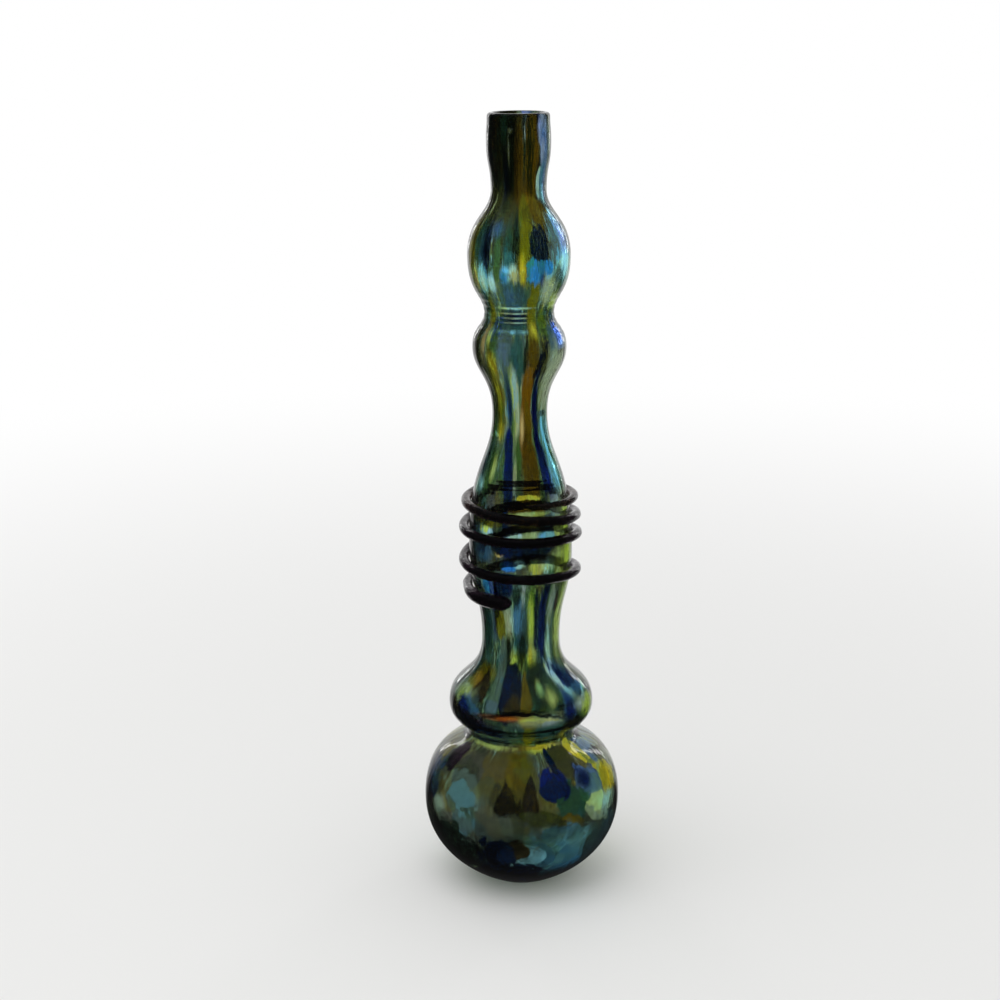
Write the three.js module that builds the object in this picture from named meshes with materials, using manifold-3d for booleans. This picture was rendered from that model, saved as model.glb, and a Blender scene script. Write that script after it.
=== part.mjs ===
// Blown glass vase: a hollow vessel drawn into five swells above one another, a dark glass trail
// wound round its stem, and coloured glass bits melted flush into the outside of its wall.
// Millimetres, +Z up, origin at the middle of the flat base, front towards -Y.

import * as THREE from "three";
import { mergeVertices } from "three/addons/utils/BufferGeometryUtils.js";
import Module from "manifold-3d";

const wasm = await Module();
wasm.setup();

// The wall, from the bore outwards: clear glass, the gap behind the bits, and the bits
const CLEAR_WALL = 2.2;
const SEAT_GAP = 0.3;
const BIT_DEPTH = 1.2;
const WALL = CLEAR_WALL + SEAT_GAP + BIT_DEPTH;

// The base: a flat ring to stand on, with a shallow hollow inside it and a thick floor above. The
// globe leaves its edge outwards and upwards.
const BASE_RADIUS = 20;
const BASE_HOLLOW_RADIUS = 14;
const BASE_HOLLOW_DEPTH = 1.2;
const BASE_OUTWARD = 19;
const BASE_UPWARD = 10;
const FLOOR_THICKNESS = 6.5;

// The outline from the base up. Each swell or waist stands `rise` above the one before it, and
// its roundness reaches `below` and `above` it by those shares of the rise on that side.
const GLOBE = { rise: 44, radius: 51.8, below: 0.48, above: 0.9 };
const THROAT = { rise: 36.3, radius: 28.4, below: 0.15, above: 0.4 };
const FLAT_BULB = { rise: 16.7, radius: 38.1, below: 0.63, above: 0.47 };
const LOWER_NECK = { rise: 34.6, radius: 20.6, below: 0.59, above: 0.49 };
const WOUND_SWELL = { rise: 50.1, radius: 27, below: 0.5, above: 0.64 };
const WAIST = { rise: 69.9, radius: 14.3, below: 0.35, above: 0.57 };
const MIDDLE_BULB = { rise: 33.7, radius: 24, below: 0.37, above: 0.59 };
const RINGED_NECK = { rise: 17.4, radius: 17.9, below: 0.4, above: 0.3 };
const UPPER_BULB = { rise: 28.3, radius: 26, below: 0.66, above: 0.57 };
const MOUTH_NECK = { rise: 31.9, radius: 14.1, below: 0.35, above: 0.49 };
const MOUTH_SWELL = { rise: 23.9, radius: 16.3, below: 0.51, above: 0.51 };
const LIP = { rise: 11.35, radius: 15.8, below: 0.5, above: 0.5 };
const STATIONS = [
  GLOBE,
  THROAT,
  FLAT_BULB,
  LOWER_NECK,
  WOUND_SWELL,
  WAIST,
  MIDDLE_BULB,
  RINGED_NECK,
  UPPER_BULB,
  MOUTH_NECK,
  MOUTH_SWELL,
  LIP,
];

// Facets: sides round the wall, degrees of bend for each row of them, and rows over the lip and
// under the base
const WALL_SIDES = 36;
const OUTSIDE_BEND = 17;
const INSIDE_BEND = 26;
const FEWEST_ROWS = 3;
const LIP_ROWS = 5;
const HOLLOW_ROWS = 2;

// The trail goes down and to the right across the front. Its marks are half a turn apart, on the
// left and right sides in turn: the first stands above the widest of the wound swell, and the
// others lie lower by these drops. It runs from a thin tail to a thick round pad, both inside them.
const TRAIL_FIRST_MARK = 28.9;
const TRAIL_DROPS = [3.4, 1.6, 7.5, 5.9, 3.7, 13.5, 5.4, 8.7, 1.2];
const TRAIL_TAIL_TURN = 95;
const TRAIL_PAD_TURN = 102;
const TRAIL_RADIUS = 2.6;
const TRAIL_TIP_RADIUS = 0.9;
const TRAIL_PAD_RADIUS = 3.9;
const TRAIL_THINS_OVER = 90;
const TRAIL_THICKENS_OVER = 60;
const TRAIL_STEPS_A_TURN = 24;
const TRAIL_SIDES = 6;
const PAD_END_ROWS = 3;
const PAD_END_RADIUS = 0.6;

// Coloured glasses, and the polish of all of them
const GLASS = {
  clear: 0xa9bfb2,
  amethyst: 0x2a1822,
  navy: 0x0b1440,
  cobalt: 0x1a2f8f,
  violet: 0x5a68b8,
  lavender: 0x8a92cc,
  amber: 0x8a5a14,
  brown: 0x4a3214,
  olive: 0x86831f,
  yellow: 0xc2a91e,
  green: 0x2f6b2a,
  teal: 0x1f5f63,
  aqua: 0x6fa8ac,
  slate: 0x70818a,
};
const GLASS_ROUGHNESS = 0.08;

// The bits, by the swell or waist they lie on. Each has its middle `up` along the wall from there
// and `turn` degrees to the right of the front. Its top leans `lean` degrees further round than
// its foot, and `belly` is the share of its length at which it is widest.
const BITS = [
  ...bitsAt(MOUTH_NECK, {
    lavender_mouth_streak: { glass: "lavender", up: 13, turn: 62, length: 32, width: 6, lean: -4 },
    amber_mouth_streak: { glass: "amber", up: 9, turn: 32, length: 38, width: 5.5, lean: -8 },
    navy_mouth_streak: { glass: "navy", up: 6, turn: -18, length: 34, width: 5, lean: -4, belly: 0.4 },
  }),
  ...bitsAt(UPPER_BULB, {
    olive_upper_streak: { glass: "olive", up: 1, turn: 4, length: 42, width: 7 },
    cobalt_upper_patch: { glass: "cobalt", up: 1, turn: 27, length: 32, width: 9, lean: 4, belly: 0.4 },
    green_upper_streak: { glass: "green", up: 0, turn: -24, length: 34, width: 7 },
    aqua_upper_patch: { glass: "aqua", up: 3, turn: 66, length: 34, width: 11 },
    amber_back_streak: { glass: "amber", up: 0, turn: 135, length: 40, width: 8 },
    teal_back_streak: { glass: "teal", up: 2, turn: 225, length: 36, width: 7 },
  }),
  ...bitsAt(MIDDLE_BULB, {
    violet_middle_patch: { glass: "violet", up: 7, turn: 66, length: 22, width: 8, lean: 4 },
  }),
  ...bitsAt(WAIST, {
    amber_stem_streak: { glass: "amber", up: 9, turn: 16, length: 88, width: 6.5, lean: 8 },
    olive_stem_streak: { glass: "olive", up: 4, turn: -38, length: 62, width: 5, lean: 8, belly: 0.6 },
    cobalt_stem_streak: { glass: "cobalt", up: -8, turn: -13, length: 62, width: 4.5, belly: 0.4 },
    navy_stem_streak: { glass: "navy", up: -11, turn: 42, length: 56, width: 4.5, lean: -6, belly: 0.35 },
    aqua_stem_streak: { glass: "aqua", up: -18, turn: 72, length: 42, width: 7, belly: 0.35 },
    cobalt_back_streak: { glass: "cobalt", up: -4, turn: 180, length: 74, width: 5, lean: 4, belly: 0.4 },
  }),
  ...bitsAt(LOWER_NECK, {
    cobalt_neck_streak: { glass: "cobalt", up: 14, turn: 27, length: 40, width: 6, lean: -6 },
    yellow_neck_drop: { glass: "yellow", up: 12, turn: -30, length: 19, width: 5, belly: 0.35 },
    green_back_streak: { glass: "green", up: 12, turn: 140, length: 40, width: 6, lean: 4 },
  }),
  ...bitsAt(FLAT_BULB, {
    slate_bulb_streak: { glass: "slate", up: 20, turn: -30, length: 34, width: 6, lean: -4, belly: 0.35 },
    navy_bulb_drop: { glass: "navy", up: 17, turn: -12, length: 30, width: 7.5, belly: 0.35 },
    ochre_bulb_streak: { glass: "amber", up: 6, turn: 6, length: 36, width: 7, lean: 2, belly: 0.45 },
    green_bulb_patch: { glass: "green", up: 11, turn: 29, length: 28, width: 9, lean: 2, belly: 0.4 },
    violet_bulb_patch: { glass: "violet", up: 10, turn: 62, length: 28, width: 14, belly: 0.45 },
    olive_back_patch: { glass: "olive", up: 10, turn: 205, length: 30, width: 12, belly: 0.4 },
  }),
  ...bitsAt(THROAT, {
    amethyst_globe_patch: { glass: "brown", up: -16, turn: -54, length: 16, width: 14, belly: 0.4 },
    yellow_globe_streak: { glass: "yellow", up: -14, turn: 64, length: 20, width: 8, lean: 4, belly: 0.4 },
  }),
  ...bitsAt(GLOBE, {
    brown_globe_drop_left: { glass: "brown", up: 18, turn: -10, length: 22, width: 9, belly: 0.3 },
    brown_globe_drop_right: { glass: "brown", up: 20, turn: 6, length: 18, width: 6.5, belly: 0.3 },
    cobalt_globe_patch: { glass: "cobalt", up: 24, turn: 24, length: 24, width: 13, lean: 2, belly: 0.35 },
    violet_globe_patch: { glass: "violet", up: 22, turn: 45, length: 17, width: 8 },
    aqua_globe_patch: { glass: "aqua", up: 8, turn: -42, length: 24, width: 18 },
    teal_globe_patch: { glass: "teal", up: -12, turn: 28, length: 22, width: 24 },
    navy_globe_patch: { glass: "navy", up: 6, turn: -84, length: 28, width: 13 },
    violet_back_patch: { glass: "violet", up: 12, turn: 125, length: 24, width: 14, belly: 0.4 },
    slate_back_patch: { glass: "slate", up: 4, turn: 185, length: 26, width: 18 },
    yellow_back_patch: { glass: "yellow", up: 16, turn: 232, length: 22, width: 11, belly: 0.4 },
  }),
];

// Facets of a bit, about this high and wide, the width of its ends as a share of its belly's, and
// how far the cutter of its recess stands out of the wall
const BIT_ROW = 7;
const BIT_COLUMN = 5;
const BIT_FEWEST_ROWS = 3;
const BIT_FEWEST_COLUMNS = 2;
const BIT_END_SHARE = 0.2;
const CUT_PROUD = 1;

const HALF_TURN = 180;
const QUARTER_TURN = 90;
const BEND_SAMPLES = 12;
const HEIGHT_WITHIN = 0.001;
const MERGE_WITHIN = 0.0001;

// The bits of a table, straight and widest in the middle unless it says otherwise
function bitsAt(station, table) {
  return Object.entries(table).map(([name, bit]) => ({ name, station, lean: 0, belly: 0.5, ...bit }));
}

// Outline of the outside of the wall, one curve up to each swell or waist
function outsidePath() {
  const path = new THREE.CurvePath();
  let low = new THREE.Vector2(BASE_RADIUS, 0);
  let leaving = new THREE.Vector2(BASE_RADIUS + BASE_OUTWARD, BASE_UPWARD);
  STATIONS.forEach((station, i) => {
    const high = new THREE.Vector2(station.radius, low.y + station.rise);
    const arriving = new THREE.Vector2(station.radius, high.y - station.below * station.rise);
    path.add(new THREE.CubicBezierCurve(low, leaving, arriving, high));
    const next = STATIONS[i + 1];
    low = high;
    if (next) leaving = new THREE.Vector2(station.radius, high.y + station.above * next.rise);
  });
  return path;
}

const outside = outsidePath();
const outsideLength = outside.getLength();
const reaches = outside.getCurveLengths();

// Place on the outside of the wall, `distance` along it from the base: radius and height as a
// point, and the way out of the wall there
function wallAt(distance) {
  const share = THREE.MathUtils.clamp(distance / outsideLength, 0, 1);
  const along = outside.getTangent(share);
  return { point: outside.getPoint(share), out: new THREE.Vector2(along.y, -along.x) };
}

// The same at a height
function wallAtHeight(height) {
  let low = 0;
  let high = outsideLength;
  while (high - low > HEIGHT_WITHIN) {
    const middle = (low + high) / 2;
    if (outside.getPoint(middle / outsideLength).y < height) low = middle;
    else high = middle;
  }
  return wallAt(low);
}

// Height of a swell or waist above the base
function stationHeight(station) {
  const below = STATIONS.slice(0, STATIONS.indexOf(station) + 1);
  return below.reduce((sum, one) => sum + one.rise, 0);
}

// Radius, height and turn from the front, in degrees, as a point in space
function turned(radius, height, turn) {
  const angle = THREE.MathUtils.degToRad(turn);
  return new THREE.Vector3(radius * Math.sin(angle), -radius * Math.cos(angle), height);
}

// Degrees through which a curve bends from end to end
function bendOf(curve) {
  let bend = 0;
  for (let i = 1; i <= BEND_SAMPLES; i++) {
    bend += curve.getTangent(i / BEND_SAMPLES).angleTo(curve.getTangent((i - 1) / BEND_SAMPLES));
  }
  return THREE.MathUtils.radToDeg(bend);
}

// Section of the whole wall: under the base, up the outside, over the lip and down the inside
function wallSection() {
  const section = [];
  for (let i = 0; i <= HOLLOW_ROWS; i++) {
    const share = i / HOLLOW_ROWS;
    const depth = BASE_HOLLOW_DEPTH * (1 - share * share);
    section.push(new THREE.Vector2(BASE_HOLLOW_RADIUS * share, depth));
  }
  const inside = [new THREE.Vector2(0, FLOOR_THICKNESS)];
  outside.curves.forEach((curve, i) => {
    const first = i === 0 ? 0 : 1;
    const outsideRows = Math.max(FEWEST_ROWS, Math.round(bendOf(curve) / OUTSIDE_BEND));
    for (let k = first; k <= outsideRows; k++) {
      section.push(curve.getPoint(k / outsideRows));
    }
    const insideRows = Math.max(FEWEST_ROWS, Math.round(bendOf(curve) / INSIDE_BEND));
    for (let k = first; k <= insideRows; k++) {
      const along = curve.getTangent(k / insideRows);
      const inward = new THREE.Vector2(-along.y, along.x).multiplyScalar(WALL);
      inside.push(curve.getPoint(k / insideRows).add(inward));
    }
  });
  const lip = section[section.length - 1];
  const lipRadius = WALL / 2;
  for (let k = 1; k < LIP_ROWS; k++) {
    const angle = (Math.PI * k) / LIP_ROWS;
    const across = lipRadius * (Math.cos(angle) - 1);
    section.push(new THREE.Vector2(lip.x + across, lip.y + lipRadius * Math.sin(angle)));
  }
  section.push(...inside.reverse());
  return section;
}

// A bit of glass as a block bent onto the wall. `grow` widens and lengthens it on every side, and
// `inward` and `outward` say how far it reaches from the outside of the wall.
function bentBlock(bit, grow, inward, outward) {
  const rows = Math.max(BIT_FEWEST_ROWS, Math.round(bit.length / BIT_ROW));
  const columns = Math.max(BIT_FEWEST_COLUMNS, Math.round(bit.width / BIT_COLUMN));
  const block = new THREE.BoxGeometry(1, 1, 1, columns, rows, 1);
  const middle = reaches[STATIONS.indexOf(bit.station)] + bit.up;
  const corners = block.getAttribute("position");
  for (let i = 0; i < corners.count; i++) {
    const share = corners.getY(i) + 0.5;
    const { point, out } = wallAt(middle + corners.getY(i) * (bit.length + 2 * grow));
    const slope = share < bit.belly ? share / bit.belly : (1 - share) / (1 - bit.belly);
    const full = BIT_END_SHARE + (1 - BIT_END_SHARE) * Math.sin((slope * Math.PI) / 2);
    const halfWidth = (bit.width / 2) * full + grow;
    const across = (2 * corners.getX(i) * halfWidth) / point.x;
    const turn = bit.turn + bit.lean * corners.getY(i) + THREE.MathUtils.radToDeg(across);
    const reach = corners.getZ(i) > 0 ? outward : -inward;
    const place = turned(point.x + reach * out.x, point.y + reach * out.y, turn);
    corners.setXYZ(i, place.x, place.y, place.z);
  }
  return block;
}

// The trail's heights, as a smooth curve through its marks
function trailHeights() {
  let height = stationHeight(WOUND_SWELL) + TRAIL_FIRST_MARK;
  const marks = [new THREE.Vector2(0, height)];
  TRAIL_DROPS.forEach((drop, i) => {
    height -= drop;
    marks.push(new THREE.Vector2(i + 1, height));
  });
  return new THREE.SplineCurve(marks);
}

// Half thickness of the trail, so many degrees from its tail and from the middle of its pad's end
function trailThickness(fromTail, fromPad) {
  if (fromTail < TRAIL_THINS_OVER) {
    return THREE.MathUtils.lerp(TRAIL_TIP_RADIUS, TRAIL_RADIUS, fromTail / TRAIL_THINS_OVER);
  }
  const swelling = 1 - Math.min(1, fromPad / TRAIL_THICKENS_OVER);
  return THREE.MathUtils.lerp(TRAIL_RADIUS, TRAIL_PAD_RADIUS, Math.sin((swelling * Math.PI) / 2));
}

// Rings of the trail from its tail to its pad, as turns and half thicknesses
function trailRings() {
  const padTurn = THREE.MathUtils.radToDeg(TRAIL_PAD_RADIUS / WOUND_SWELL.radius);
  const first = TRAIL_TAIL_TURN;
  const last = HALF_TURN * TRAIL_DROPS.length - TRAIL_PAD_TURN - padTurn;
  const count = Math.round(((last - first) * TRAIL_STEPS_A_TURN) / (2 * HALF_TURN));
  const rings = [];
  for (let i = 0; i <= count; i++) {
    const turn = THREE.MathUtils.lerp(first, last, i / count);
    rings.push({ turn, thick: trailThickness(turn - first, last - turn) });
  }
  for (let k = 1; k <= PAD_END_ROWS; k++) {
    const angle = (Math.PI / 2) * (k / PAD_END_ROWS);
    const thick = Math.max(PAD_END_RADIUS, TRAIL_PAD_RADIUS * Math.cos(angle));
    rings.push({ turn: last + padTurn * Math.sin(angle), thick });
  }
  return rings;
}

// The trail: a six-sided rope laid on the wall, one flat side against it, and the middles of its
// rings
function trailGeometry() {
  const heights = trailHeights();
  const standOff = 1 / Math.cos(Math.PI / TRAIL_STEPS_A_TURN);
  const corner = 1 / Math.cos(Math.PI / TRAIL_SIDES);
  const places = [];
  const middles = [];
  for (const { turn, thick } of trailRings()) {
    const share = turn / (HALF_TURN * TRAIL_DROPS.length);
    const { point, out } = wallAtHeight(heights.getPoint(share).y);
    const reach = SEAT_GAP + thick;
    const middle = new THREE.Vector2((point.x + reach * out.x) * standOff, point.y + reach * out.y);
    middles.push({ place: turned(middle.x, middle.y, turn - QUARTER_TURN), thick });
    for (let k = 0; k < TRAIL_SIDES; k++) {
      const angle = (2 * Math.PI * (k + 0.5)) / TRAIL_SIDES;
      const off = thick * corner * Math.cos(angle);
      const up = thick * corner * Math.sin(angle);
      const radius = middle.x + off * out.x - up * out.y;
      places.push(turned(radius, middle.y + off * out.y + up * out.x, turn - QUARTER_TURN));
    }
  }
  const last = places.length - TRAIL_SIDES;
  const faces = [];
  for (let ring = 0; ring < last; ring += TRAIL_SIDES) {
    for (let k = 0; k < TRAIL_SIDES; k++) {
      const a = ring + k;
      const b = ring + ((k + 1) % TRAIL_SIDES);
      faces.push(a, a + TRAIL_SIDES, b, b, a + TRAIL_SIDES, b + TRAIL_SIDES);
    }
  }
  for (let k = 1; k < TRAIL_SIDES - 1; k++) {
    faces.push(0, k, k + 1, last, last + k + 1, last + k);
  }
  const geometry = new THREE.BufferGeometry().setFromPoints(places).setIndex(faces);
  return { geometry, middles };
}

// Least gap between the trail's turns, from the middles of its rings
function leastTrailGap(middles) {
  const corner = 1 / Math.cos(Math.PI / TRAIL_SIDES);
  let least = Infinity;
  middles.forEach((one, i) => {
    for (const other of middles.slice(i + TRAIL_STEPS_A_TURN / 2)) {
      const gap = one.place.distanceTo(other.place) - corner * (one.thick + other.thick);
      least = Math.min(least, gap);
    }
  });
  return least;
}

function solidOf(geometry) {
  const bare = geometry.clone();
  bare.deleteAttribute("normal");
  bare.deleteAttribute("uv");
  const merged = mergeVertices(bare, MERGE_WITHIN);
  const vertProperties = new Float32Array(merged.getAttribute("position").array);
  const triVerts = new Uint32Array(merged.index.array);
  return new wasm.Manifold(new wasm.Mesh({ numProp: 3, vertProperties, triVerts }));
}

function geometryOf(solid) {
  const { vertProperties, triVerts } = solid.getMesh();
  const geometry = new THREE.BufferGeometry();
  geometry.setAttribute("position", new THREE.BufferAttribute(vertProperties, 3));
  geometry.setIndex(new THREE.BufferAttribute(triVerts, 1));
  geometry.computeVertexNormals();
  return geometry;
}

function glassMaterial(glass) {
  const color = GLASS[glass];
  return new THREE.MeshStandardMaterial({ color, roughness: GLASS_ROUGHNESS, metalness: 0 });
}

// The vessel, with a recess for each bit
function vesselGeometry() {
  const whole = new THREE.LatheGeometry(wallSection(), WALL_SIDES);
  whole.rotateX(Math.PI / 2);
  let vessel = solidOf(whole);
  for (const bit of BITS) {
    const recess = bentBlock(bit, SEAT_GAP, BIT_DEPTH + SEAT_GAP, CUT_PROUD);
    vessel = vessel.subtract(solidOf(recess));
  }
  return geometryOf(vessel);
}

const vase = new THREE.Group();

function add(name, geometry, glass) {
  const mesh = new THREE.Mesh(geometry, glassMaterial(glass));
  mesh.name = name;
  vase.add(mesh);
}

add("vessel_body", vesselGeometry(), "clear");

const trail = trailGeometry();
add("trail_wrap", trail.geometry, "amethyst");
console.log("least gap between the turns of the trail: " + leastTrailGap(trail.middles).toFixed(2));

for (const bit of BITS) {
  add(bit.name, bentBlock(bit, 0, BIT_DEPTH, 0), bit.glass);
}

export default vase;
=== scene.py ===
import math

import bmesh
import bpy
from bpy.props import FloatProperty, FloatVectorProperty, PointerProperty
from mathutils import Matrix, Vector, noise


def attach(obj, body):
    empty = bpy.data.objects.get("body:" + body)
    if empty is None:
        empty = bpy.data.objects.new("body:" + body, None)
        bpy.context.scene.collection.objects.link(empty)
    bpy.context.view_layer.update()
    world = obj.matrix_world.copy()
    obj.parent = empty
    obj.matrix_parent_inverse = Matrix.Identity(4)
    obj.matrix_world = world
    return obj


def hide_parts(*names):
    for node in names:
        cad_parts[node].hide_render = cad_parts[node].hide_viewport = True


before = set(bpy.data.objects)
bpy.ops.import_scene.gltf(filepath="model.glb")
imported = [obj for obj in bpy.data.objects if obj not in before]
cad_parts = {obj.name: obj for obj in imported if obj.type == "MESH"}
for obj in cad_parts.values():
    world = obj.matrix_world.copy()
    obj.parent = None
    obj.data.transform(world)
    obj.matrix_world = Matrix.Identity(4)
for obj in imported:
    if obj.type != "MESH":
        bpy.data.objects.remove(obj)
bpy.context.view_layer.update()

bl_info = {
    "name": "Blown Glass Vase",
    "version": (1, 0, 0),
    "blender": (4, 5, 0),
    "location": "View3D > Sidebar > Vase",
    "description": "Blows a tall streaked glass vase, winds its trail and sets a plain stage",
    "category": "Object",
}

MM = 0.001

# The outline from the base up. Each swell or waist stands `rise` millimetres above the one before
# it, and its roundness reaches below and above it by those shares of the rise on that side. Its
# radius is in VesselShape, under the same name.
STATIONS = (
    ("globe", 44, 0.48, 0.9),
    ("throat", 36.3, 0.15, 0.4),
    ("flat_bulb", 16.7, 0.63, 0.47),
    ("lower_neck", 34.6, 0.59, 0.49),
    ("wound_swell", 50.1, 0.5, 0.64),
    ("waist", 69.9, 0.35, 0.57),
    ("middle_bulb", 33.7, 0.37, 0.59),
    ("ringed_neck", 17.4, 0.4, 0.3),
    ("upper_bulb", 28.3, 0.66, 0.57),
    ("mouth_neck", 31.9, 0.35, 0.49),
    ("mouth_swell", 23.9, 0.51, 0.51),
    ("lip", 11.24, 0.5, 0.5),
)

# How the globe leaves the edge of the base, outwards and upwards
BASE_OUTWARD = 19
BASE_UPWARD = 10
HOLLOW_DEPTH = 1.2

# Fine rings left by the tool that turned the hot glass: lowest and highest, from ring to ring, and
# their depth
TOOL_RINGS = (
    (81, 93, 2.4, 0.16),
    (212, 224, 2.6, 0.09),
    (286, 317, 3.1, 0.16),
)

# Mesh of the wall: its sides, rows about so far apart, and how many steps a curve's last may span
VESSEL_SIDES = 160
OUTSIDE_STEP = 1.9
RING_STEP = 0.52
INSIDE_STEP = 3
LAST_STEP = 1.5
LIP_ROWS = 12
HOLLOW_ROWS = 6
FLOOR_ROWS = 5
MERGE_WITHIN = 0.01

# How far along a curve its direction is read, and how the floor inside rises towards the wall
NUDGE = 0.001
FLOOR_DISH = 0.8
FLOOR_CURVE = 4

# Slow ripples of the hand-blown wall: how many go round, how high each is and how deep
RIPPLES = ((2, 70, 0.5), (5, 34, 0.22), (14, 60, 0.1))

# The trail's marks lie half a turn apart, the first at this height and each lower by these drops.
# The trail starts and ends so many degrees inside the outer marks, thins and thickens over so many
# more, and is sunk into the wall by a share of its thickness.
TRAIL_FIRST_HEIGHT = 210.6
TRAIL_DROPS = (3.4, 1.6, 7.5, 5.9, 3.7, 13.5, 5.4, 8.7, 1.2)
TRAIL_TAIL_TURN = 95
TRAIL_PAD_TURN = 102
TRAIL_THINS_OVER = 90
TRAIL_THICKENS_OVER = 60
TRAIL_SIDES = 16
TRAIL_STEPS_A_TURN = 90
TRAIL_END_ROWS = 5
TRAIL_SUNK = 0.12

# Glasses of the flow between the bits, by height: the two that it runs between on the front, and
# the two on the paler back
FLOW = (
    (0, "bottle", "navy", "sage", "mist"),
    (24, "bottle", "slate", "sage", "mist"),
    (44, "smoke", "ash", "sage", "mist"),
    (60, "ash", "khaki", "sage", "mist"),
    (76, "khaki", "ash", "sage", "mist"),
    (84, "bottle", "spruce", "sage", "mist"),
    (122, "spruce", "moss", "sage", "mist"),
    (138, "spruce", "leaf", "sage", "mist"),
    (172, "bottle", "smoke", "sage", "slate"),
    (206, "bottle", "moss", "sage", "mist"),
    (228, "leaf", "slate", "sage", "mist"),
    (262, "leaf", "mist", "sage", "mist"),
    (292, "moss", "slate", "sage", "mist"),
    (304, "spruce", "moss", "sage", "mist"),
    (318, "slate", "leaf", "sage", "mist"),
    (338, "spruce", "moss", "sage", "mist"),
    (356, "moss", "smoke", "sage", "mist"),
    (366, "umber", "bottle", "sage", "mist"),
    (392, "umber", "bottle", "sage", "mist"),
    (400, "bottle", "umber", "moss", "bottle"),
)

# Glasses of the pale patches scattered over the back, and how strongly they show
SCATTER = (
    *("sage", "aqua", "mist", "olive", "sage", "lavender"),
    *("straw", "leaf", "mist", "gold", "steel"),
)
SCATTER_SHARE = 0.6

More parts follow.
